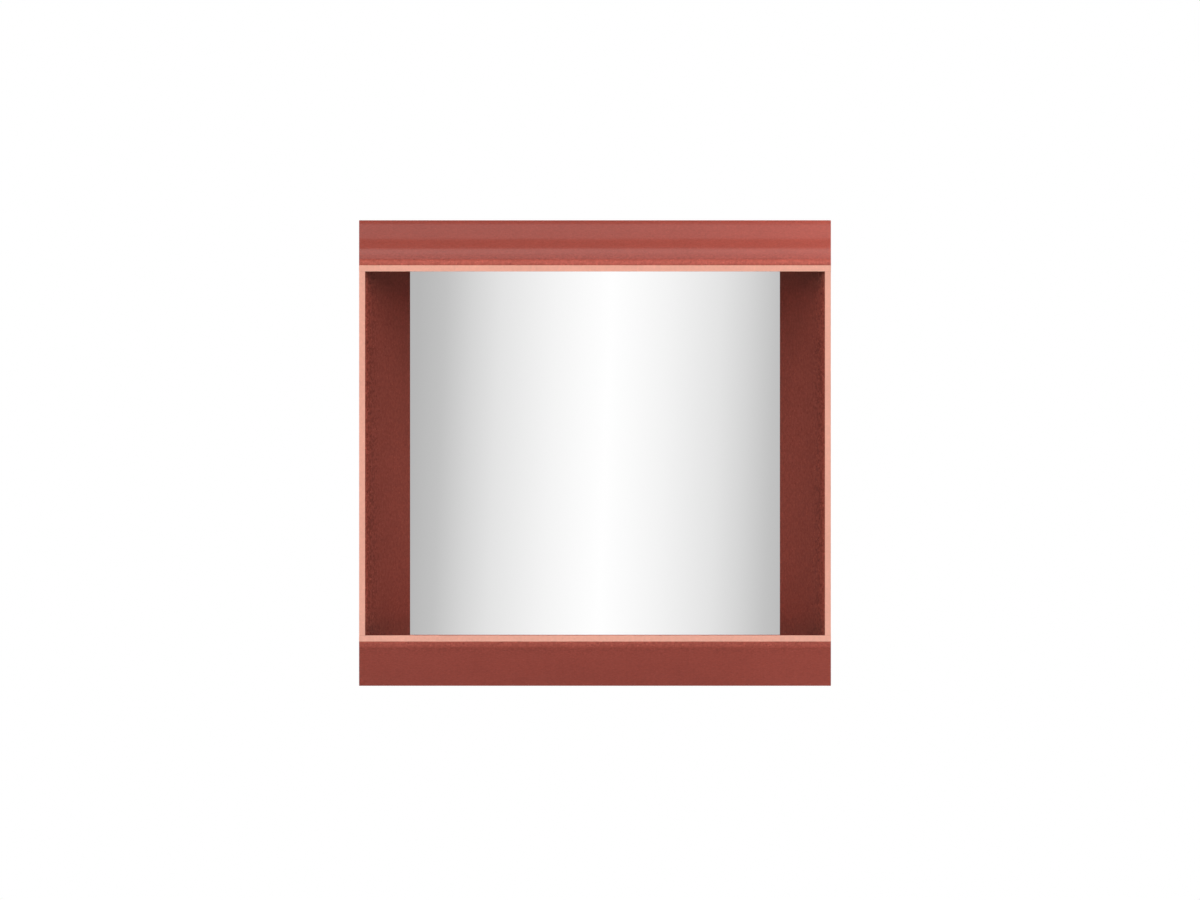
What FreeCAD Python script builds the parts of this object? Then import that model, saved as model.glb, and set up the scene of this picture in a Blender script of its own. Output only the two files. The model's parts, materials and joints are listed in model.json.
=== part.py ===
"""Wall mirror with a deep frame of four leaning boards, hung from a two-part rail.

Millimetres, +X to the viewer's right, +Y into the wall, +Z up. The wall is the plane y = 0. The pieces
are drawn round the mirror's centre and then lowered, so that the origin is the middle of the wall rail's
line of screw holes.
"""

import FreeCAD
import Part
import math
import os

# Overall sizes of the frame
FRAME_WIDTH = 600.0
FRAME_HEIGHT = 592.0
FRAME_DEPTH = 114.0
WALL_GAP = 2.0

# How far each board leads away from the front opening, from its near front corner to its far rear corner
LEVEL_RISE = 64.75
UPRIGHT_RISE = 65.0

# Boards and their front edges, the level boards' fully rounded and the upright boards' slightly
LEVEL_BOARD = 12.0
UPRIGHT_BOARD = 8.0
LEVEL_ARRIS = 8.0
UPRIGHT_ARRIS = 60.0
UPRIGHT_ARRIS_ANGLE = 12
STRIP_DEPTH = 3.0

# Glass and what lies behind it
GLASS = 4.0
GLASS_PLAY = 0.3
GLASS_LAP = 7.0
GLASS_EDGE_PLAY = 0.6
GLASS_CHAMFER = 0.5
TAPE = 1.0
TAPE_WIDTH = 25.0
TAPE_END_INSET = 21.25
TAPE_SIDE_INSET = 55.0
TAPE_COUNT = 4
PANEL = 9.0
PANEL_INSET = 2.0
PANEL_FIT = 0.3

# Battens and corner blocks behind the side boards
BATTEN_WIDTH = 23.0
BATTEN_DEPTH = 31.0
BLOCK_LENGTH = 32.0
BLOCK_DEPTH = 42.0
BLOCK_GAP = 8.0

# Rails that hang the mirror
RAIL_PLATE = 2.0
RAIL_PLAY = 0.3
RAIL_FLANGE = 22.0
RAIL_TONGUE = 14.0
RAIL_BELOW_TOP = 126.0
WALL_RAIL_INSET = 110.0
FRAME_RAIL_OVERHANG = 20.0
WALL_HOLE_RADIUS = 2.5
WALL_HOLE_END = 25.0
WALL_HOLE_COUNT = 4

# Screws
SCREW_RADIUS = 1.75
SCREW_HEAD_RADIUS = 3.5
SCREW_HEAD = 1.8
SCREW_PLAY = 0.1
SCREW_TIP = 3.0
CROSS_ARM = 1.9
CROSS_WIDTH = 1.0
CROSS_DEPTH = 0.9
PANEL_SCREW_LENGTH = 30.0
PANEL_SCREW_EDGE = 8.0
PANEL_SCREW_INSET = 71.0
PANEL_SCREW_COUNT = 4
RAIL_SCREW_LENGTH = 9.5
RAIL_SCREW_END = 20.0
RAIL_SCREW_COUNT = 5

# Bumpers
BUMPER_RADIUS = 9.0
BUMPER_ROUND = 1.2
BUMPER_INSET = 40.0

# Every cut runs this far past the face that it leaves
OVERRUN = 5.0

# Planes from the front to the wall
FRONT_Y = -(WALL_GAP + FRAME_DEPTH)
PANEL_REAR_Y = -(2 * RAIL_PLATE + 3 * RAIL_PLAY)
PANEL_FRONT_Y = PANEL_REAR_Y - PANEL
GLASS_REAR_Y = PANEL_FRONT_Y - TAPE
GLASS_FRONT_Y = GLASS_REAR_Y - GLASS
UPRIGHT_REAR_Y = GLASS_FRONT_Y - GLASS_PLAY

# Height of the opening at the front plane, and width of the glass that shows
OPENING_HEIGHT = FRAME_HEIGHT - 2 * LEVEL_RISE
SIGHT_WIDTH = FRAME_WIDTH - 2 * UPRIGHT_RISE

# Lengths and pitches that follow from them
TAPE_LENGTH = OPENING_HEIGHT - 2 * TAPE_END_INSET
TAPE_PITCH = (SIGHT_WIDTH - 2 * TAPE_SIDE_INSET) / (TAPE_COUNT - 1)
PANEL_SCREW_PITCH = (FRAME_HEIGHT - 2 * PANEL_SCREW_INSET) / (PANEL_SCREW_COUNT - 1)
WALL_RAIL_LENGTH = FRAME_WIDTH - 2 * WALL_RAIL_INSET
WALL_HOLE_PITCH = (WALL_RAIL_LENGTH - 2 * WALL_HOLE_END) / (WALL_HOLE_COUNT - 1)
FRAME_RAIL_LENGTH = WALL_RAIL_LENGTH + 2 * FRAME_RAIL_OVERHANG
RAIL_SCREW_PITCH = (FRAME_RAIL_LENGTH - 2 * RAIL_SCREW_END) / (RAIL_SCREW_COUNT - 1)

# Heights above the mirror's centre: each rail's tongue ends on the other rail's seat
RAIL_ABOVE_CENTRE = FRAME_HEIGHT / 2 - RAIL_BELOW_TOP
WALL_SEAT_Z = RAIL_ABOVE_CENTRE + RAIL_FLANGE / 2
FRAME_SEAT_Z = WALL_SEAT_Z + RAIL_TONGUE


def point(x, y, z):
    return FreeCAD.Vector(x, y, z)


def centred_places(count, pitch):
    """Places of a row of count things, pitch apart, centred on zero."""
    return [(i - (count - 1) / 2) * pitch for i in range(count)]


def prism_along_x(outline, half_length):
    """Solid with an outline of (y, z) points, centred on x = 0."""
    start = [point(-half_length, y, z) for y, z in outline]
    face = Part.Face(Part.makePolygon(start + start[:1]))
    return face.extrude(point(2 * half_length, 0, 0))


def prism_along_z(outline, half_length):
    """Solid with an outline of (x, y) points, centred on z = 0."""
    start = [point(x, y, -half_length) for x, y in outline]
    face = Part.Face(Part.makePolygon(start + start[:1]))
    return face.extrude(point(0, 0, 2 * half_length))


def block(x_range, y_range, z_range):
    """Box between two places on each axis."""
    low = [min(pair) for pair in (x_range, y_range, z_range)]
    sizes = [max(pair) - min(pair) for pair in (x_range, y_range, z_range)]
    return Part.makeBox(*sizes, point(*low))


def placed(shape, places):
    """Copies of a shape at each (x, y, z) place, as one group."""
    return Part.makeCompound([shape.translated(point(*place)) for place in places])


def mirrored_x(shape):
    return shape.mirror(point(0, 0, 0), point(1, 0, 0))


def mirrored_z(shape):
    return shape.mirror(point(0, 0, 0), point(0, 0, 1))


class LeaningBoard:
    """Section of a board between two opposite corners: d is the depth behind the front plane, h is measured
    in that plane from the hidden face towards the face that shows. The arris turns until it faces the front,
    or by less if a turn is given."""

    def __init__(self, board, depth, rise, arris, turn=None):
        self.depth = depth
        self.rise = rise
        self.arris = arris
        self.lean = math.acos(board / math.hypot(rise, depth)) - math.atan2(depth, rise)
        self.slope = math.tan(self.lean)
        self.turn = turn or math.pi / 2 - self.lean
        self.flat = (board - arris * (1 - math.cos(self.turn))) / math.cos(self.lean)

    def hidden(self, d):
        """Height of the hidden face at a depth."""
        return d * self.slope

    def on_round(self, turn):
        """Point of the round arris where it has turned that far from the face that shows."""
        shift = self.flat - self.arris * math.cos(self.lean + self.turn)
        d = self.arris * (math.sin(self.lean + self.turn) - math.sin(self.lean + turn))
        return d, shift + self.arris * math.cos(self.lean + turn)

    def board_face(self, place):
        """The board's section, with its round arris and the rebate for the edge strip."""
        corners = [
            (0, self.flat),
            (STRIP_DEPTH, self.flat),
            (STRIP_DEPTH, self.hidden(STRIP_DEPTH)),
            (self.depth, self.hidden(self.depth)),
            (self.depth, self.rise),
            self.on_round(0),
        ]
        ends = [place(*corner) for corner in corners]
        edges = [Part.LineSegment(a, b).toShape() for a, b in zip(ends, ends[1:])]
        edges.append(Part.Arc(ends[-1], place(*self.on_round(self.turn / 2)), ends[0]).toShape())
        return Part.Face(Part.Wire(edges))

    def strip_face(self, place):
        """The edge strip's section, flush with the front plane and with the hidden face."""
        corners = [(0, 0), (STRIP_DEPTH, self.hidden(STRIP_DEPTH)), (STRIP_DEPTH, self.flat), (0, self.flat)]
        ends = [place(*corner) for corner in corners]
        return Part.Face(Part.makePolygon(ends + ends[:1]))


LEVEL = LeaningBoard(LEVEL_BOARD, FRAME_DEPTH, LEVEL_RISE, LEVEL_ARRIS)
UPRIGHT = LeaningBoard(
    UPRIGHT_BOARD, UPRIGHT_REAR_Y - FRONT_Y, UPRIGHT_RISE, UPRIGHT_ARRIS, math.radians(UPRIGHT_ARRIS_ANGLE)
)


def level_inner_z(y):
    """Height of the top board's hidden face above the mirror's centre."""
    return OPENING_HEIGHT / 2 + LEVEL.hidden(y - FRONT_Y)


def upright_outer_x(y):
    """Place of the right board's hidden face."""
    return FRAME_WIDTH / 2 - UPRIGHT.hidden(y - FRONT_Y)


def between_level_boards(fit):
    """The space between the top and bottom boards, less a fit at each."""
    front, rear = FRONT_Y - OVERRUN, 0
    outline = [
        (front, level_inner_z(front) - fit),
        (rear, level_inner_z(rear) - fit),
        (rear, fit - level_inner_z(rear)),
        (front, fit - level_inner_z(front)),
    ]
    return prism_along_x(outline, FRAME_WIDTH)


def level_place(d, h):
    return point(-FRAME_WIDTH / 2, FRONT_Y + d, OPENING_HEIGHT / 2 + h)


def upright_place(d, h):
    return point(FRAME_WIDTH / 2 - h, FRONT_Y + d, -FRAME_HEIGHT / 2)


def level_pieces():
    """Top and bottom boards with their edge strips, over the full width."""
    run = point(FRAME_WIDTH, 0, 0)
    board = LEVEL.board_face(level_place).extrude(run)
    strip = LEVEL.strip_face(level_place).extrude(run)
    return {
        "top_board": board,
        "bottom_board": mirrored_z(board),
        "top_edge_strip": strip,
        "bottom_edge_strip": mirrored_z(strip),
    }


def upright_pieces():
    """Side boards with their edge strips, cut to stand between the top and bottom boards."""
    run = point(0, 0, FRAME_HEIGHT)
    space = between_level_boards(0)
    board = UPRIGHT.board_face(upright_place).extrude(run).common(space)
    strip = UPRIGHT.strip_face(upright_place).extrude(run).common(space)
    return {
        "right_board": board,
        "left_board": mirrored_x(board),
        "right_edge_strip": strip,
        "left_edge_strip": mirrored_x(strip),
    }


def mirror_glass():
    """Plate of glass that laps behind the side boards, with its arrises ground off."""
    half_width = SIGHT_WIDTH / 2 + GLASS_LAP
    half_height = level_inner_z(GLASS_FRONT_Y) - GLASS_EDGE_PLAY
    plate = block((-half_width, half_width), (GLASS_FRONT_Y, GLASS_REAR_Y), (-half_height, half_height))
    return plate.makeChamfer(GLASS_CHAMFER, plate.Edges)


def mirror_tape():
    """Upright strips of tape between the glass and the back panel."""
    half_width, half_length = TAPE_WIDTH / 2, TAPE_LENGTH / 2
    strip = block((-half_width, half_width), (GLASS_REAR_Y, PANEL_FRONT_Y), (-half_length, half_length))
    return placed(strip, [(x, 0, 0) for x in centred_places(TAPE_COUNT, TAPE_PITCH)])


def batten():
    """Right-hand batten, glued to the side board's hidden face and reaching back to the panel."""
    inner_x = upright_outer_x(UPRIGHT_REAR_Y)
    outer_x = inner_x + BATTEN_WIDTH
    front_y = PANEL_FRONT_Y - BATTEN_DEPTH
    outline = [
        (inner_x, PANEL_FRONT_Y),
        (outer_x, PANEL_FRONT_Y),
        (outer_x, front_y),
        (upright_outer_x(front_y), front_y),
        (inner_x, UPRIGHT_REAR_Y),
    ]
    return prism_along_z(outline, FRAME_HEIGHT / 2).common(between_level_boards(0))


def corner_block():
    """Top right glue block, a wedge on the side board's hidden face, up against the top board."""
    rear_y = PANEL_FRONT_Y - BATTEN_DEPTH - BLOCK_GAP
    front_y = rear_y - BLOCK_DEPTH
    outline = [
        (upright_outer_x(front_y), front_y),
        (upright_outer_x(front_y), rear_y),
        (upright_outer_x(rear_y), rear_y),
    ]
    low_z = level_inner_z(front_y) - BLOCK_LENGTH
    above = block((0, FRAME_WIDTH), (FRONT_Y, 0), (low_z, FRAME_HEIGHT / 2))
    return prism_along_z(outline, FRAME_HEIGHT / 2).common(above).common(between_level_boards(0))


def screw(length):
    """Countersunk cross-head screw, its head flush with y = 0 and its tip to the front, along -Y."""
    shank_end = length - SCREW_TIP
    half_section = [
        (0, 0),
        (SCREW_HEAD_RADIUS, 0),
        (SCREW_RADIUS, SCREW_HEAD),
        (SCREW_RADIUS, shank_end),
        (0, length),
    ]
    ends = [point(r, -depth, 0) for r, depth in half_section]
    body = Part.Face(Part.makePolygon(ends + ends[:1])).revolve(point(0, 0, 0), point(0, 1, 0), 360)
    long_side, short_side = (-CROSS_ARM, CROSS_ARM), (-CROSS_WIDTH / 2, CROSS_WIDTH / 2)
    depth = (-CROSS_DEPTH, OVERRUN)
    return body.cut([block(long_side, depth, short_side), block(short_side, depth, long_side)])


def screw_hole(length):
    """Countersunk hole for a screw of that length, a little larger than it all round."""
    radius = SCREW_RADIUS + SCREW_PLAY
    sink_radius = SCREW_HEAD_RADIUS + SCREW_PLAY
    hole = Part.makeCylinder(radius, length + SCREW_PLAY, point(0, 0, 0), point(0, -1, 0))
    sink = Part.makeCone(sink_radius, radius, SCREW_HEAD, point(0, 0, 0), point(0, -1, 0))
    mouth = Part.makeCylinder(sink_radius, OVERRUN, point(0, 0, 0), point(0, 1, 0))
    return hole.fuse(sink).fuse(mouth)


def panel_screw_places():
    """Heads of the screws that hold the back panel to both battens."""
    x = upright_outer_x(UPRIGHT_REAR_Y) + BATTEN_WIDTH - PANEL_SCREW_EDGE
    rows = centred_places(PANEL_SCREW_COUNT, PANEL_SCREW_PITCH)
    return [(side * x, PANEL_REAR_Y, z) for side in (-1, 1) for z in rows]


def rail_screw_places():
    """Heads of the screws that hold the frame rail to the back panel."""
    z = FRAME_SEAT_Z + RAIL_FLANGE / 2
    return [(x, PANEL_REAR_Y + RAIL_PLATE, z) for x in centred_places(RAIL_SCREW_COUNT, RAIL_SCREW_PITCH)]


def rail_sections(base_y, towards, seat_z, up):
    """Sections of a joggled rail, as (y, z) points: its flange on the base plane, with the ledge that is its
    seat, and its tongue, which stands off by a plate's thickness and the play on both its sides."""
    flange_y = base_y + towards * RAIL_PLATE
    slot_y = flange_y + towards * 2 * RAIL_PLAY
    tongue_y = slot_y + towards * RAIL_PLATE
    flange_end_z = seat_z - up * RAIL_FLANGE
    tongue_end_z = seat_z + up * RAIL_TONGUE
    ledge_z = seat_z - up * RAIL_PLATE
    flange = [
        (base_y, flange_end_z),
        (base_y, seat_z),
        (slot_y, seat_z),
        (slot_y, ledge_z),
        (flange_y, ledge_z),
        (flange_y, flange_end_z),
    ]
    tongue = [(slot_y, ledge_z), (slot_y, tongue_end_z), (tongue_y, tongue_end_z), (tongue_y, ledge_z)]
    return flange, tongue


def fixed_back():
    """Back panel, battens and frame rail with their screws and the holes for them."""
    panel_holes = placed(screw_hole(PANEL_SCREW_LENGTH), panel_screw_places())
    rail_holes = placed(screw_hole(RAIL_SCREW_LENGTH), rail_screw_places())
    half_width = FRAME_WIDTH / 2 - PANEL_INSET
    slab = block((-half_width, half_width), (PANEL_FRONT_Y, PANEL_REAR_Y), (-FRAME_HEIGHT, FRAME_HEIGHT))
    panel = slab.common(between_level_boards(PANEL_FIT)).cut(panel_holes).cut(rail_holes)
    right_batten = batten().cut(panel_holes)
    flange, tongue = rail_sections(PANEL_REAR_Y, 1, FRAME_SEAT_Z, -1)
    return {
        "back_panel": panel,
        "right_batten": right_batten,
        "left_batten": mirrored_x(right_batten),
        "back_panel_screws": placed(screw(PANEL_SCREW_LENGTH), panel_screw_places()),
        "frame_rail_flange": prism_along_x(flange, FRAME_RAIL_LENGTH / 2).cut(rail_holes),
        "frame_rail_tongue": prism_along_x(tongue, FRAME_RAIL_LENGTH / 2),
        "frame_rail_screws": placed(screw(RAIL_SCREW_LENGTH), rail_screw_places()),
    }


def wall_rail_pieces():
    """Rail on the wall, its tongue upwards, with plain holes for the wall screws."""
    flange, tongue = rail_sections(0, -1, WALL_SEAT_Z, 1)
    length = RAIL_PLATE + 2 * OVERRUN
    hole = Part.makeCylinder(WALL_HOLE_RADIUS, length, point(0, OVERRUN, 0), point(0, -1, 0))
    places = [(x, 0, RAIL_ABOVE_CENTRE) for x in centred_places(WALL_HOLE_COUNT, WALL_HOLE_PITCH)]
    return {
        "wall_rail_flange": prism_along_x(flange, WALL_RAIL_LENGTH / 2).cut(placed(hole, places)),
        "wall_rail_tongue": prism_along_x(tongue, WALL_RAIL_LENGTH / 2),
    }


def bumper():
    """Right-hand rubber bumper between the back panel and the wall."""
    x = FRAME_WIDTH / 2 - BUMPER_INSET
    z = BUMPER_INSET - level_inner_z(PANEL_REAR_Y)
    pad = Part.makeCylinder(BUMPER_RADIUS, -PANEL_REAR_Y, point(x, PANEL_REAR_Y, z), point(0, 1, 0))
    rim = [edge for edge in pad.Edges if abs(edge.CenterOfMass.y) < BUMPER_ROUND]
    return pad.makeFillet(BUMPER_ROUND, rim)


def all_nodes():
    nodes = {}
    nodes.update(level_pieces())
    nodes.update(upright_pieces())
    nodes["mirror_glass"] = mirror_glass()
    nodes["mirror_tape"] = mirror_tape()
    top_right = corner_block()
    for end, shape in (("top", top_right), ("bottom", mirrored_z(top_right))):
        nodes[f"corner_block_{end}_right"] = shape
        nodes[f"corner_block_{end}_left"] = mirrored_x(shape)
    nodes.update(fixed_back())
    nodes.update(wall_rail_pieces())
    nodes["right_bumper"] = bumper()
    nodes["left_bumper"] = mirrored_x(nodes["right_bumper"])
    return nodes


os.makedirs("parts", exist_ok=True)
for name, shape in all_nodes().items():
    shape.translated(point(0, 0, -RAIL_ABOVE_CENTRE)).exportStep(f"parts/{name}.step")
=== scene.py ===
import json
import math

import bpy
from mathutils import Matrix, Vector


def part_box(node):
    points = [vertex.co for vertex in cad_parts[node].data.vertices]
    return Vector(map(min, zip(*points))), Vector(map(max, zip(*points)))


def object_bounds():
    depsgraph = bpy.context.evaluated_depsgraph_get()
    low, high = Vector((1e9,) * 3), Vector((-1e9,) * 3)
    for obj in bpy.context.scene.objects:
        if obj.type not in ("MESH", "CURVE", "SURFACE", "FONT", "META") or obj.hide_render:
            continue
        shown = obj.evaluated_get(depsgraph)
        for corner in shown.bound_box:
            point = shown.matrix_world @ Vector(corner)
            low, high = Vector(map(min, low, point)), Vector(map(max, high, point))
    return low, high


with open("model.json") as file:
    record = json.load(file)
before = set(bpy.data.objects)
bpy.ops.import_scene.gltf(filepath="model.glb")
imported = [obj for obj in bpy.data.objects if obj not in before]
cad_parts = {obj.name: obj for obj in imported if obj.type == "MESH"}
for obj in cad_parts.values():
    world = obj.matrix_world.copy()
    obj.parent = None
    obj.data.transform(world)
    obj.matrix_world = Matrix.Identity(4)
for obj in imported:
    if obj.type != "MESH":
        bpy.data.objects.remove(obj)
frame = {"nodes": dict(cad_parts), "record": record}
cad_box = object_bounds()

# The photograph, in its own pixels: its size and the outer edges of the frame in it
PHOTO_WIDTH, PHOTO_HEIGHT = 1200, 900
OUTLINE_LEFT, OUTLINE_RIGHT = 359.05, 830.95
OUTLINE_TOP, OUTLINE_BOTTOM = 220.8, 686.05

# Overall box and planes of the mirror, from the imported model
LOW, HIGH = cad_box
CENTRE = (LOW + HIGH) / 2
FRONT_Y = LOW.y
METRES_PER_PIXEL = (HIGH.x - LOW.x) / (OUTLINE_RIGHT - OUTLINE_LEFT)
HIGH_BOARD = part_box("top_board")[1]

# Camera, by its distance from the front plane and how far it looks down
CAMERA_DISTANCE = 3.0
CAMERA_ELEVATION = math.radians(0.24)

# Floor: how far it lies below the mirror, its length and width, how much it glows for the camera, and
# its faint clouds
FLOOR_BELOW = 1.40
FLOOR_SIZE = 30.0
FLOOR_GLOW = 0.55
FLOOR_CLOUDS = 0.9
FLOOR_TONES = ((0.78, 0.78, 0.775), (0.82, 0.82, 0.815))
FLOOR_ROUGHNESS = 0.85
FLOOR_SPECULAR = 0.2

# Background: its colour, and how bright it is for the camera and for everything else
WHITE = (1.0, 1.0, 1.0, 1.0)
BACKDROP = 1.0
AMBIENT = 0.06

# Softboxes: place from the mirror's centre, width and height, watts, and whether polished things
# show them
SOFTBOXES = {
    "front": (Vector((0.16, -6.30, 4.00)), (4.0, 3.0), 170.0, True),
    "upper": (Vector((0.16, -3.60, 6.20)), (4.0, 3.0), 261.0, True),
    "overhead": (Vector((0.16, -1.80, 7.00)), (4.0, 2.5), 170.0, True),
    "top_wash": (Vector((0.10, 0.05, 1.60)), (1.2, 0.12), 3.3, False),
    "top_end_wash": (Vector((0.46, 0.05, 0.52)), (0.2, 0.10), 0.70, False),
    "bottom_wash": (Vector((-0.30, 0.05, -0.88)), (0.8, 0.12), 1.38, False),
    "bottom_end_wash": (Vector((0.50, 0.05, -0.62)), (0.3, 0.10), 0.84, False),
    "left_side": (Vector((-2.60, 0.60, 0.50)), (1.0, 1.4), 20.0, True),
    "right_side": (Vector((2.60, 0.60, 0.50)), (1.0, 1.4), 20.0, True),
    "rear": (Vector((0.40, 3.60, 0.90)), (5.0, 3.6), 70.0, True),
}

# The light behind the camera that the mirror shows: its size and place, the photograph's column and the
# lean of its bright line, and how bright it is, by distance from that line
MIRROR_CARD_SIZE = (9.0, 7.0)
MIRROR_CARD_Y = -4.5
REFLECTION_MIDDLE = 606.0
REFLECTION_LEAN = math.radians(2.3)
RIGHT_SHEEN = (
    (0.0, 1.07),
    (0.046, 1.01),
    (0.076, 0.96),
    (0.153, 0.80),
    (0.214, 0.565),
    (0.245, 0.505),
    (0.800, 0.50),
    (3.000, 0.42),
    (4.500, 0.10),
)
LEFT_SHEEN = tuple((-off, grey) for off, grey in reversed(RIGHT_SHEEN[1:]))

# Cards that only the gloss shows, off the faces of the top and bottom boards: the lean of those faces,
# the middle of the card from the face's rear edge, its distance, and its width and height
LEVEL_LEAN = math.radians(24.34)
CARD_MIDDLE = 0.068
CARD_OFF = 0.25
CARD_SIZE = (1.20, 0.080)

# How bright the top board's card is, from its lower edge, which the board's rear shows, to its upper
# edge. The bottom board's card is dark
TOP_SHEEN = (
    (-0.0400, 0.0),
    (-0.0243, 0.0),
    (-0.0228, 0.53),
    (-0.0055, 0.45),
    (-0.0030, 0.0),
    (0.0072, 0.0),
    (0.0092, 0.85),
    (0.0135, 0.85),
    (0.0165, 0.57),
    (0.0215, 0.50),
    (0.0400, 0.38),
)
NO_SHEEN = ((-1.0, 0.0), (1.0, 0.0))

# Lacquer, by distance behind the front plane: its specks and painted glints thin out, its painted
# highlight on the rounded arris fades, its gloss sets in, and the boards end, where the painted light
# and shade from front to rear is complete
SPECKLED_DEPTH = (0.004, 0.034)
ARRIS_HIGHLIGHT_DEPTH = (-0.0015, 0.0062)
GLOSS_DEPTH = (0.0045, 0.0075)
REAR_DEPTH = 0.10

# Where painted shade darkens the side boards towards their corners with the boards above and below, by
# distance from the middle of the mirror's height
PAINTED_SHADE_HEIGHT = (0.190, 0.232)

# Lacquer: how many of its pebbles, blotches, clouds and specks go to the metre, the specks' size in
# cells and the share of the cells that have one. The light specks are painted glints
PEBBLES = 620.0
BLOTCHES = 260.0
CLOUDS = 16.0
PAINTED_GLINT_SPECKS = (330.0, 0.46, 0.40)
DARK_SPECKS = (270.0, 0.44, 0.32)

# What these make of the tone, the painted glints lightening it, how high the pebbles and the painted
# glint specks stand beside each other, and how many metres a height of 1 is
CLOUD_TONE = 0.96
BLOTCH_TONE = 0.68
PAINTED_GLINT_TONE = 1.42
DARK_SPECK_TONE = 0.66
PEBBLE_RELIEF = 0.6
SPECK_RELIEF = 0.8
LACQUER_RELIEF_DEPTH = 0.00012

# How rough and glossy the lacquer is, and the coat over it
LACQUER_ROUGHNESS = (0.42, 0.56)
LACQUER_SPECULAR = 0.025
COAT = 0.5
COAT_ROUGHNESS = 0.04

# The other finishes: how many grains, clouds or pores they have to the metre, or along each axis, how
# deep in metres these stand, and how rough they leave the surface
GRIT = 3000.0
GRIT_ROUGHNESS = (0.30, 0.45)
POLISH_CLOUDS = 14.0
POLISH_ROUGHNESS = (0.012, 0.018)

FIBRES = 900.0
FIBRE_STRETCH = (1.0, 1.0, 0.35)
FIBRE_SHARE = 0.6
FIBRE_DEPTH = 0.00010
BOARD_CLOUDS = 9.0
BOARD_ROUGHNESS = (0.72, 0.86)

DIE_LINES = (3.0, 2400.0, 2400.0)
DIE_LINE_DEPTH = 0.00003
DIE_LINE_SHARE = 0.5
STREAKS = (1.5, 320.0, 320.0)
STREAK_SHARE = 0.5
ALUMINIUM_ROUGHNESS = (0.28, 0.46)

ZINC_PATCHES = 260.0
ZINC_GRAIN = 4200.0
ZINC_GRAIN_DEPTH = 0.00002
ZINC_ROUGHNESS = (0.22, 0.38)

FOAM_PORES = 1500.0
FOAM_PORE_DEPTH = 0.00020
RUBBER_PORES = 2200.0
RUBBER_PORE_DEPTH = 0.00008
BLOOM = 90.0
RUBBER_ROUGHNESS = (0.70, 0.90)
MATT_SPECULAR = 0.3

# The middle values of a noise, which are spread over the whole of what it drives: wide for a soft
# change, narrow for a sharp one, and high for the few peaks alone
WIDE = (0.3, 0.7)
MEDIUM = (0.35, 0.65)
NARROW = (0.38, 0.62)
PEAKS = (0.52, 0.72)

# How far a face looks to the rear: from a side to a front face, and, with the measure squared, from an
# edge of the glass to its front or rear
TO_FRONT = (-0.5, -0.8)
TO_GLASS_FACE = (0.5, 0.9)

# Colours, and pairs of them between which a finish varies
RED = (0.293, 0.0580, 0.0420)
# Painted highlight: the lighter red of the top and bottom boards' rounded front arris
ARRIS_HIGHLIGHT_RED = (0.530, 0.127, 0.0950)
# Painted light: the upright boards' copy of the red, lighter than the same lacquer on the top and
# bottom boards
UPRIGHT_PAINTED_LIGHT_RED = (0.330, 0.0690, 0.0480)
# Painted highlight: the lighter red of the upright boards' rounded front arris
UPRIGHT_ARRIS_HIGHLIGHT_RED = (0.410, 0.0890, 0.0620)
# Painted shade: the dark red that the upright boards' ends turn to, near their corners
PAINTED_SHADE_RED = (0.150, 0.0640, 0.0460)
SALMON = (0.970, 0.475, 0.365)
SALMON_SIDES = (0.400, 0.0850, 0.0620)
GROUND_GLASS = (0.30, 0.48, 0.42)
SILVER = (0.935, 0.935, 0.935)
FIBREBOARD_TONES = ((0.020, 0.018, 0.018), (0.034, 0.031, 0.030))
FIBRE_FLECKS = (0.085, 0.075, 0.068)
ALUMINIUM_TONES = ((0.56, 0.57, 0.58), (0.78, 0.79, 0.80))
ZINC_TONES = ((0.62, 0.63, 0.66), (0.72, 0.69, 0.58))
FOAM_TONES = ((0.70, 0.70, 0.67), (0.80, 0.80, 0.77))
RUBBER_TONES = ((0.016, 0.016, 0.016), (0.03, 0.03, 0.03))

# Soft arrises: their widths by slot, their steps, the least turn that counts as one, and how close the
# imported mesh's doubled corners lie
ARRIS_WIDTHS = {
    "red_lacquer": 0.0004,
    "salmon_edge": 0.0003,
    "back_panel": 0.0005,
    "rail_aluminium": 0.00025,
}
ARRIS_STEPS = 3
ARRIS_TURN = math.radians(30)
WELD = 0.00001


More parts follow.
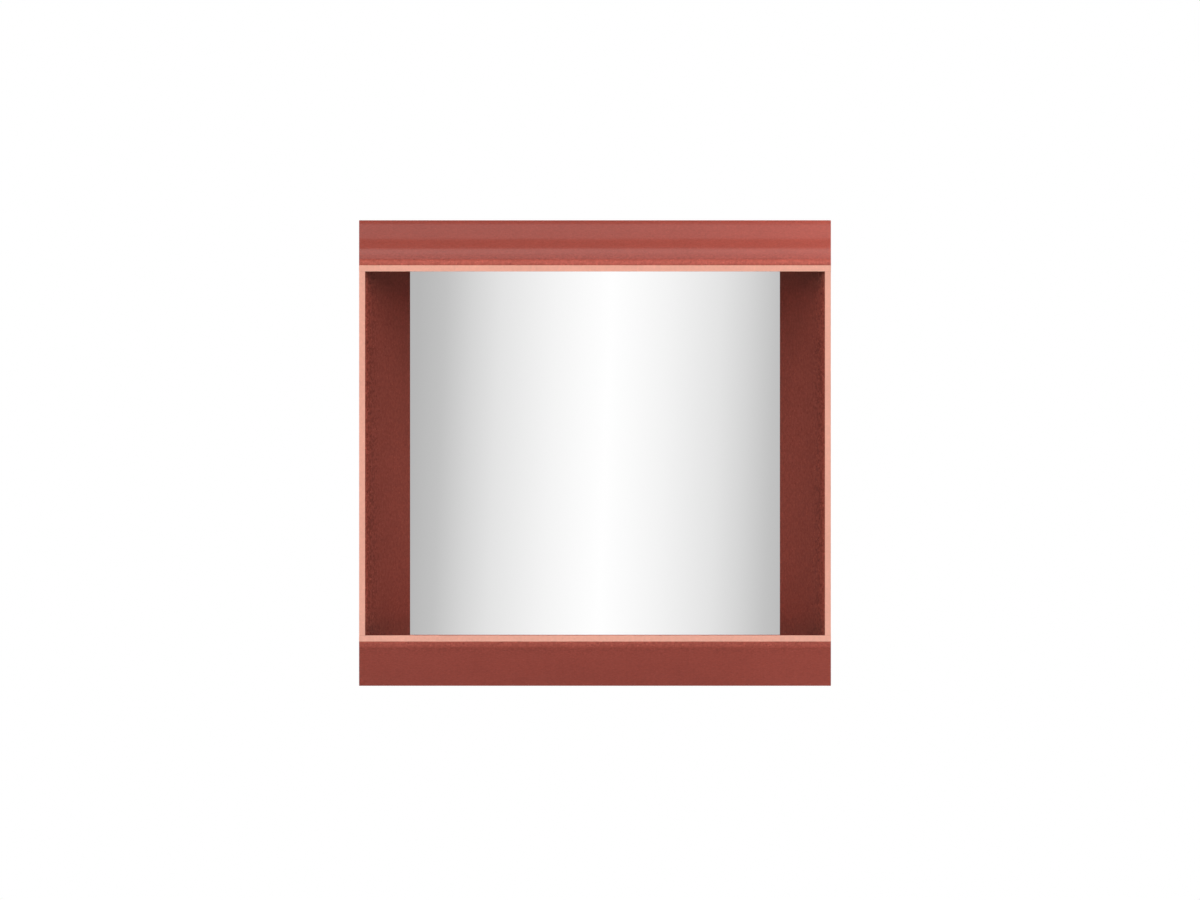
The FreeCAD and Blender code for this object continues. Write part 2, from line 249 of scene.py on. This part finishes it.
class Finish:
    """A material, with short calls for the nodes that the finishes share."""

    def __init__(self, name):
        self.material = bpy.data.materials.new(name)
        self.material.use_nodes = True
        self.tree = self.material.node_tree
        self.shader = self.tree.nodes["Principled BSDF"]
        self.place = self.add("TexCoord").outputs["Object"]

    def add(self, kind, inputs=None, **settings):
        """A node, with its settings, and its inputs by name or number."""
        made = self.tree.nodes.new("ShaderNode" + kind)
        for name, value in settings.items():
            setattr(made, name, value)
        for name, value in (inputs or {}).items():
            self.feed(made.inputs[name], value)
        return made

    def feed(self, socket, value):
        if isinstance(value, bpy.types.NodeSocket):
            self.tree.links.new(value, socket)
        else:
            socket.default_value = value

    def set(self, **values):
        """Sets or feeds the shader's own sockets."""
        for name, value in values.items():
            self.feed(self.shader.inputs[name.replace("_", " ")], value)

    def axis(self, name):
        """One object coordinate."""
        return self.add("SeparateXYZ", {0: self.place}).outputs[name]

    def facing(self):
        """Which way the surface looks: from -1, to the front, to 1, to the rear."""
        faces = self.add("TexCoord").outputs["Normal"]
        return self.add("SeparateXYZ", {0: faces}).outputs["Y"]

    def stretched(self, *scales):
        """Object coordinates, multiplied along each axis."""
        return self.add("Mapping", {"Vector": self.place, "Scale": scales}).outputs["Vector"]

    def noise(self, per_metre, detail, place=None):
        inputs = {"Vector": place or self.place, "Scale": per_metre, "Detail": detail}
        return self.add("TexNoise", inputs).outputs["Fac"]

    def specks(self, per_metre, size, share):
        """Round dots, one to a cell at most: size in cells, share of the cells that have one."""
        cells = self.add("TexVoronoi", {"Vector": self.place, "Scale": per_metre})
        dot = self.ramp(cells.outputs["Distance"], size, size / 2)
        lot = self.add("SeparateColor", {0: cells.outputs["Color"]}).outputs["Red"]
        return self.times(dot, self.ramp(lot, 1 - share, 1 - share / 2))

    def ramp(self, value, low, high, out_low=0.0, out_high=1.0):
        """A value from low to high becomes one from out_low to out_high, with soft ends."""
        span = {"From Min": low, "From Max": high, "To Min": out_low, "To Max": out_high}
        inputs = {"Value": value, **span}
        return self.add("MapRange", inputs, interpolation_type="SMOOTHSTEP").outputs["Result"]

    def plus(self, a, b):
        return self.add("Math", {0: a, 1: b}, operation="ADD").outputs[0]

    def times(self, a, b):
        return self.add("Math", {0: a, 1: b}, operation="MULTIPLY").outputs[0]

    def blend(self, share, a, b):
        """A colour between a and b."""
        inputs = {0: share, 6: self.opaque(a), 7: self.opaque(b)}
        return self.add("Mix", inputs, data_type="RGBA").outputs[2]

    def multiply(self, share, colour, factor):
        """A colour made lighter or darker by a factor, over a share of the surface."""
        inputs = {0: share, 6: colour, 7: self.opaque((factor,) * 3)}
        return self.add("Mix", inputs, data_type="RGBA", blend_type="MULTIPLY").outputs[2]

    @staticmethod
    def opaque(colour):
        return (*colour, 1.0) if isinstance(colour, tuple) else colour

    def bump(self, height, depth):
        return self.add("Bump", {"Height": height, "Distance": depth}).outputs["Normal"]


def shaded(colour, factor):
    """A colour made lighter or darker."""
    return tuple(min(part * factor, 1.0) for part in colour)


def lacquer(name, colour, arris_highlight_colour, speckle, front_painted_light=1.0, rear_painted_light=1.0, painted_shade=0.0, sides=None):
    """Satin lacquer: a pebbled, mottled skin, with specks that crowd towards the front edges; the light
    specks are painted glints.

    speckle says how strong the specks and blotches are in front, from 0, none, to 1. The front arris is
    painted lighter in another colour, a painted highlight. front_painted_light and rear_painted_light
    lighten or darken a board's front and rear, painted light and shade; painted_shade is how far an
    upright board's ends turn to the painted shade red, from 0 to 1, and sides is the colour of the
    faces that don't look to the front.
    """
    finish = Finish(name)
    depth = finish.plus(finish.axis("Y"), -FRONT_Y)
    near_front = finish.ramp(depth, *SPECKLED_DEPTH, speckle, speckle / 2)
    pebbles = finish.noise(PEBBLES, detail=2.0)
    blotches = finish.noise(BLOTCHES, detail=3.0)
    clouds = finish.noise(CLOUDS, detail=3.0)
    # Painted glints: light specks, strongest near the front edges
    painted_glints = finish.times(finish.specks(*PAINTED_GLINT_SPECKS), near_front)
    dark_specks = finish.times(finish.specks(*DARK_SPECKS), near_front)
    # Painted light and shade: each board lightened or darkened from its front to its rear
    rear = finish.ramp(depth, 0.0, REAR_DEPTH)
    tone = finish.blend(rear, shaded(colour, front_painted_light), shaded(colour, rear_painted_light))
    # Painted highlight: the rounded front arris turns to a lighter colour
    tone = finish.blend(finish.ramp(depth, *ARRIS_HIGHLIGHT_DEPTH), arris_highlight_colour, tone)
    # Painted shade: the upright boards darken towards their ends, where the boards above and below
    # shade them
    if painted_shade:
        height = finish.plus(finish.axis("Z"), -CENTRE.z)
        low, high = (edge ** 2 for edge in PAINTED_SHADE_HEIGHT)
        ends = finish.ramp(finish.times(height, height), low, high, 0.0, painted_shade)
        tone = finish.blend(ends, tone, PAINTED_SHADE_RED)
    if sides:
        tone = finish.blend(finish.ramp(finish.facing(), *TO_FRONT), sides, tone)
    tone = finish.multiply(finish.ramp(clouds, *WIDE), tone, CLOUD_TONE)
    blotched = finish.times(finish.ramp(blotches, *NARROW), near_front)
    tone = finish.multiply(blotched, tone, BLOTCH_TONE)
    # Painted glints: the light specks lighten the tone
    tone = finish.multiply(painted_glints, tone, PAINTED_GLINT_TONE)
    tone = finish.multiply(dark_specks, tone, DARK_SPECK_TONE)
    relief = finish.plus(finish.times(pebbles, PEBBLE_RELIEF), finish.times(painted_glints, SPECK_RELIEF))
    finish.set(
        Base_Color=tone,
        Roughness=finish.ramp(pebbles, *WIDE, *LACQUER_ROUGHNESS),
        Specular_IOR_Level=LACQUER_SPECULAR,
        Normal=finish.bump(relief, LACQUER_RELIEF_DEPTH),
        Coat_Weight=finish.ramp(depth, *GLOSS_DEPTH, 0.0, COAT),
        Coat_Roughness=COAT_ROUGHNESS,
    )
    return finish.material


def mirror_silver():
    """Silvered glass: a polished face with faint clouds in its shine, and ground, greenish edges."""
    finish = Finish("mirror_silver")
    facing = finish.facing()
    silvered = finish.ramp(finish.times(facing, facing), *TO_GLASS_FACE)
    grit = finish.ramp(finish.noise(GRIT, detail=2.0), *WIDE, *GRIT_ROUGHNESS)
    polish = finish.ramp(finish.noise(POLISH_CLOUDS, detail=3.0), *WIDE, *POLISH_ROUGHNESS)
    finish.set(
        Base_Color=finish.blend(silvered, GROUND_GLASS, SILVER),
        Metallic=silvered,
        Roughness=finish.add("Mix", {0: silvered, 2: grit, 3: polish}).outputs[0],
    )
    return finish.material


def stained_board():
    """Charcoal stained fibreboard: short flecks of fibre and faint clouds."""
    finish = Finish("stained_fibreboard")
    fibres = finish.noise(FIBRES, detail=4.0, place=finish.stretched(*FIBRE_STRETCH))
    clouds = finish.noise(BOARD_CLOUDS, detail=4.0)
    tone = finish.blend(finish.ramp(clouds, *WIDE), *FIBREBOARD_TONES)
    tone = finish.blend(finish.ramp(fibres, *PEAKS, 0.0, FIBRE_SHARE), tone, FIBRE_FLECKS)
    finish.set(
        Base_Color=tone,
        Roughness=finish.ramp(clouds, *WIDE, *BOARD_ROUGHNESS),
        Specular_IOR_Level=MATT_SPECULAR,
        Normal=finish.bump(fibres, FIBRE_DEPTH),
    )
    return finish.material


def mill_aluminium():
    """Extruded aluminium: fine die lines and broader, duller streaks along its length."""
    finish = Finish("mill_aluminium")
    lines = finish.noise(1.0, detail=3.0, place=finish.stretched(*DIE_LINES))
    streaks = finish.noise(1.0, detail=4.0, place=finish.stretched(*STREAKS))
    dullness = finish.plus(finish.times(lines, DIE_LINE_SHARE), finish.times(streaks, STREAK_SHARE))
    finish.set(
        Base_Color=finish.blend(finish.ramp(streaks, *WIDE), *ALUMINIUM_TONES),
        Metallic=1.0,
        Roughness=finish.ramp(dullness, *WIDE, *ALUMINIUM_ROUGHNESS),
        Normal=finish.bump(lines, DIE_LINE_DEPTH),
    )
    return finish.material


def zinc_plate():
    """Bright zinc: a faint straw tint in patches over a fine grain."""
    finish = Finish("zinc_plate")
    patches = finish.noise(ZINC_PATCHES, detail=2.0)
    grain = finish.noise(ZINC_GRAIN, detail=2.0)
    finish.set(
        Base_Color=finish.blend(finish.ramp(patches, *MEDIUM), *ZINC_TONES),
        Metallic=1.0,
        Roughness=finish.ramp(grain, *WIDE, *ZINC_ROUGHNESS),
        Normal=finish.bump(grain, ZINC_GRAIN_DEPTH),
    )
    return finish.material


def rubber(name, tones, pores_per_metre, pore_depth):
    """Matt rubber or foam: fine pores and a bloom in clouds."""
    finish = Finish(name)
    pores = finish.noise(pores_per_metre, detail=3.0)
    clouds = finish.noise(BLOOM, detail=3.0)
    finish.set(
        Base_Color=finish.blend(finish.ramp(clouds, *MEDIUM), *tones),
        Roughness=finish.ramp(pores, *WIDE, *RUBBER_ROUGHNESS),
        Specular_IOR_Level=MATT_SPECULAR,
        Normal=finish.bump(pores, pore_depth),
    )
    return finish.material


# Each slot's material, and a lit and shaded copy of the red lacquer for the two upright boards: painted
# lighter, with painted shade at their front and towards their ends
FINISHES = {
    "red_lacquer": lacquer(
        "brick_red_lacquer",
        RED,
        ARRIS_HIGHLIGHT_RED,
        speckle=0.55,
        # painted light at the front of the top and bottom boards, painted shade at their rear
        front_painted_light=1.05,
        rear_painted_light=0.97,
    ),
    "salmon_edge": lacquer("salmon_lacquer", SALMON, SALMON, speckle=0.12, sides=SALMON_SIDES),
    "mirror_glass": mirror_silver(),
    "foam_tape": rubber("foam", FOAM_TONES, FOAM_PORES, FOAM_PORE_DEPTH),
    "back_panel": stained_board(),
    "rail_aluminium": mill_aluminium(),
    "screw_steel": zinc_plate(),
    "bumper_rubber": rubber("black_rubber", RUBBER_TONES, RUBBER_PORES, RUBBER_PORE_DEPTH),
}
UPRIGHT_LIT_AND_SHADED_FINISH = lacquer(
    "upright_lit_and_shaded_lacquer",
    UPRIGHT_PAINTED_LIGHT_RED,
    UPRIGHT_ARRIS_HIGHLIGHT_RED,
    speckle=1.0,
    # painted shade at the front of the upright boards, painted light at their rear
    front_painted_light=0.92,
    rear_painted_light=1.10,
    # painted shade towards the upright boards' ends
    painted_shade=0.36,
)
UPRIGHTS = ("left_board", "right_board")


def soften(piece, width):
    """Rounds a piece's sharp arrises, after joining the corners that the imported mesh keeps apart."""
    weld = piece.modifiers.new("weld", "WELD")
    weld.merge_threshold = WELD
    bevel = piece.modifiers.new("arris", "BEVEL")
    bevel.width = width
    bevel.segments = ARRIS_STEPS
    bevel.limit_method = "ANGLE"
    bevel.angle_limit = ARRIS_TURN
    flats = piece.modifiers.new("flats", "WEIGHTED_NORMAL")
    flats.keep_sharp = True


def dress_nodes():
    for subpart in frame["record"]["subparts"]:
        node, slot = subpart["node"], subpart["material_slot"]
        piece = frame["nodes"][node]
        for place in piece.material_slots:
            place.material = UPRIGHT_LIT_AND_SHADED_FINISH if node in UPRIGHTS else FINISHES[slot]
        if slot in ARRIS_WIDTHS:
            soften(piece, ARRIS_WIDTHS[slot])


def link(name, data):
    made = bpy.data.objects.new(name, data)
    bpy.context.scene.collection.objects.link(made)
    return made


def aim(thing, target):
    thing.rotation_euler = (target - thing.location).to_track_quat("-Z", "Y").to_euler()


def sheet(name, width, height, material):
    """A flat stage sheet that faces its own +Z."""
    mesh = bpy.data.meshes.new(name)
    x, y = width / 2, height / 2
    mesh.from_pydata([(-x, -y, 0), (x, -y, 0), (x, y, 0), (-x, y, 0)], [], [(0, 1, 2, 3)])
    mesh.materials.append(material)
    made = link(name, mesh)
    return made


def pale_floor():
    """Pale floor that glows for the camera alone, so that it looks evenly white."""
    finish = Finish("floor")
    clouds = finish.noise(FLOOR_CLOUDS, detail=3.0)
    finish.set(
        Base_Color=finish.blend(finish.ramp(clouds, *WIDE), *FLOOR_TONES),
        Roughness=FLOOR_ROUGHNESS,
        Specular_IOR_Level=FLOOR_SPECULAR,
    )
    seen = finish.add("LightPath").outputs["Is Camera Ray"]
    strength = finish.add("MapRange", {"Value": seen, "To Max": FLOOR_GLOW}).outputs["Result"]
    finish.set(Emission_Color=WHITE, Emission_Strength=strength)
    floor = sheet("floor", FLOOR_SIZE, FLOOR_SIZE, finish.material)
    floor.location = (CENTRE.x, CENTRE.y, LOW.z - FLOOR_BELOW)


def glow(name, axis, stops):
    """Emission whose brightness runs along an object axis through (place, grey) stops."""
    finish = Finish(name)
    low, high = stops[0][0], stops[-1][0]
    span = {"Value": finish.axis(axis), "From Min": low, "From Max": high}
    ramp = finish.add("ValToRGB", {"Fac": finish.add("MapRange", span).outputs["Result"]})
    points = ramp.color_ramp.elements
    while len(points) < len(stops):
        points.new(0.5)  # its real place is set below
    most = max(grey for _, grey in stops) or 1.0
    for point, (where, grey) in zip(points, stops):
        point.position = (where - low) / (high - low)
        point.color = (grey / most, grey / most, grey / most, 1.0)
    light = finish.add("Emission", {"Color": ramp.outputs["Color"], "Strength": most})
    output = finish.tree.nodes["Material Output"]
    finish.tree.links.new(light.outputs[0], output.inputs["Surface"])
    finish.tree.nodes.remove(finish.shader)
    return finish.material


def only_in_gloss(card):
    card.visible_camera = False
    card.visible_diffuse = False
    card.visible_shadow = False


def reflected_card():
    """The soft light behind the camera that the mirror shows, brightest along a nearly upright line."""
    card = sheet("mirror_card", *MIRROR_CARD_SIZE, glow("mirror_card", "X", LEFT_SHEEN + RIGHT_SHEEN))
    middle = METRES_PER_PIXEL * (REFLECTION_MIDDLE - (OUTLINE_LEFT + OUTLINE_RIGHT) / 2)
    card.location = (middle, MIRROR_CARD_Y, CENTRE.z)
    card.rotation_euler = (-math.pi / 2, REFLECTION_LEAN, 0.0)
    only_in_gloss(card)


def sheen_card(name, side, stops):
    """A card square to the view that the gloss of the top, 1, or bottom board, -1, reflects."""
    along = Vector((0.0, math.cos(LEVEL_LEAN), side * math.sin(LEVEL_LEAN)))
    rear_edge = Vector((CENTRE.x, HIGH_BOARD.y, CENTRE.z + side * (HIGH_BOARD.z - CENTRE.z)))
    middle = rear_edge - CARD_MIDDLE * along
    turn = 2 * LEVEL_LEAN + side * CAMERA_ELEVATION
    reflected = Vector((0.0, math.cos(turn), side * math.sin(turn)))
    card = sheet(name, *CARD_SIZE, glow(name, "Y", stops))
    card.location = middle + CARD_OFF * reflected
    aim(card, middle)
    only_in_gloss(card)


def studio():
    """Background, white for the camera and dim for the rest, and the softboxes."""
    world = bpy.data.worlds.new("studio")
    bpy.context.scene.world = world
    world.use_nodes = True
    tree = world.node_tree
    seen = tree.nodes.new("ShaderNodeLightPath").outputs["Is Camera Ray"]
    strength = tree.nodes.new("ShaderNodeMapRange")
    tree.links.new(seen, strength.inputs["Value"])
    strength.inputs["To Min"].default_value = AMBIENT
    strength.inputs["To Max"].default_value = BACKDROP
    sky = tree.nodes["Background"]
    sky.inputs["Color"].default_value = WHITE
    tree.links.new(strength.outputs[0], sky.inputs["Strength"])

    for name, (place, size, power, shown) in SOFTBOXES.items():
        light = bpy.data.lights.new(name, "AREA")
        light.shape = "RECTANGLE"
        light.size, light.size_y = size
        light.energy = power
        box = link(name, light)
        box.location = CENTRE + place
        box.visible_camera = False
        box.visible_glossy = shown
        aim(box, CENTRE)


def photo_camera():
    """Straight-on camera without perspective, framed as the photograph is."""
    data = bpy.data.cameras.new("camera")
    data.type = "ORTHO"
    data.ortho_scale = PHOTO_WIDTH * METRES_PER_PIXEL
    camera = link("camera", data)
    right = PHOTO_WIDTH / 2 - (OUTLINE_LEFT + OUTLINE_RIGHT) / 2
    up = (OUTLINE_TOP + OUTLINE_BOTTOM) / 2 - PHOTO_HEIGHT / 2
    seen = Vector((CENTRE.x + right * METRES_PER_PIXEL, FRONT_Y, CENTRE.z + up * METRES_PER_PIXEL))
    back = Vector((0.0, -math.cos(CAMERA_ELEVATION), math.sin(CAMERA_ELEVATION)))
    camera.location = seen + CAMERA_DISTANCE * back
    camera.rotation_euler = (math.pi / 2 - CAMERA_ELEVATION, 0.0, 0.0)
    bpy.context.scene.camera = camera


photo_camera()
bpy.context.scene.view_settings.view_transform = "Standard"
pale_floor()
reflected_card()
sheen_card("top_sheen", 1, TOP_SHEEN)
sheen_card("bottom_flag", -1, NO_SHEEN)
studio()
dress_nodes()
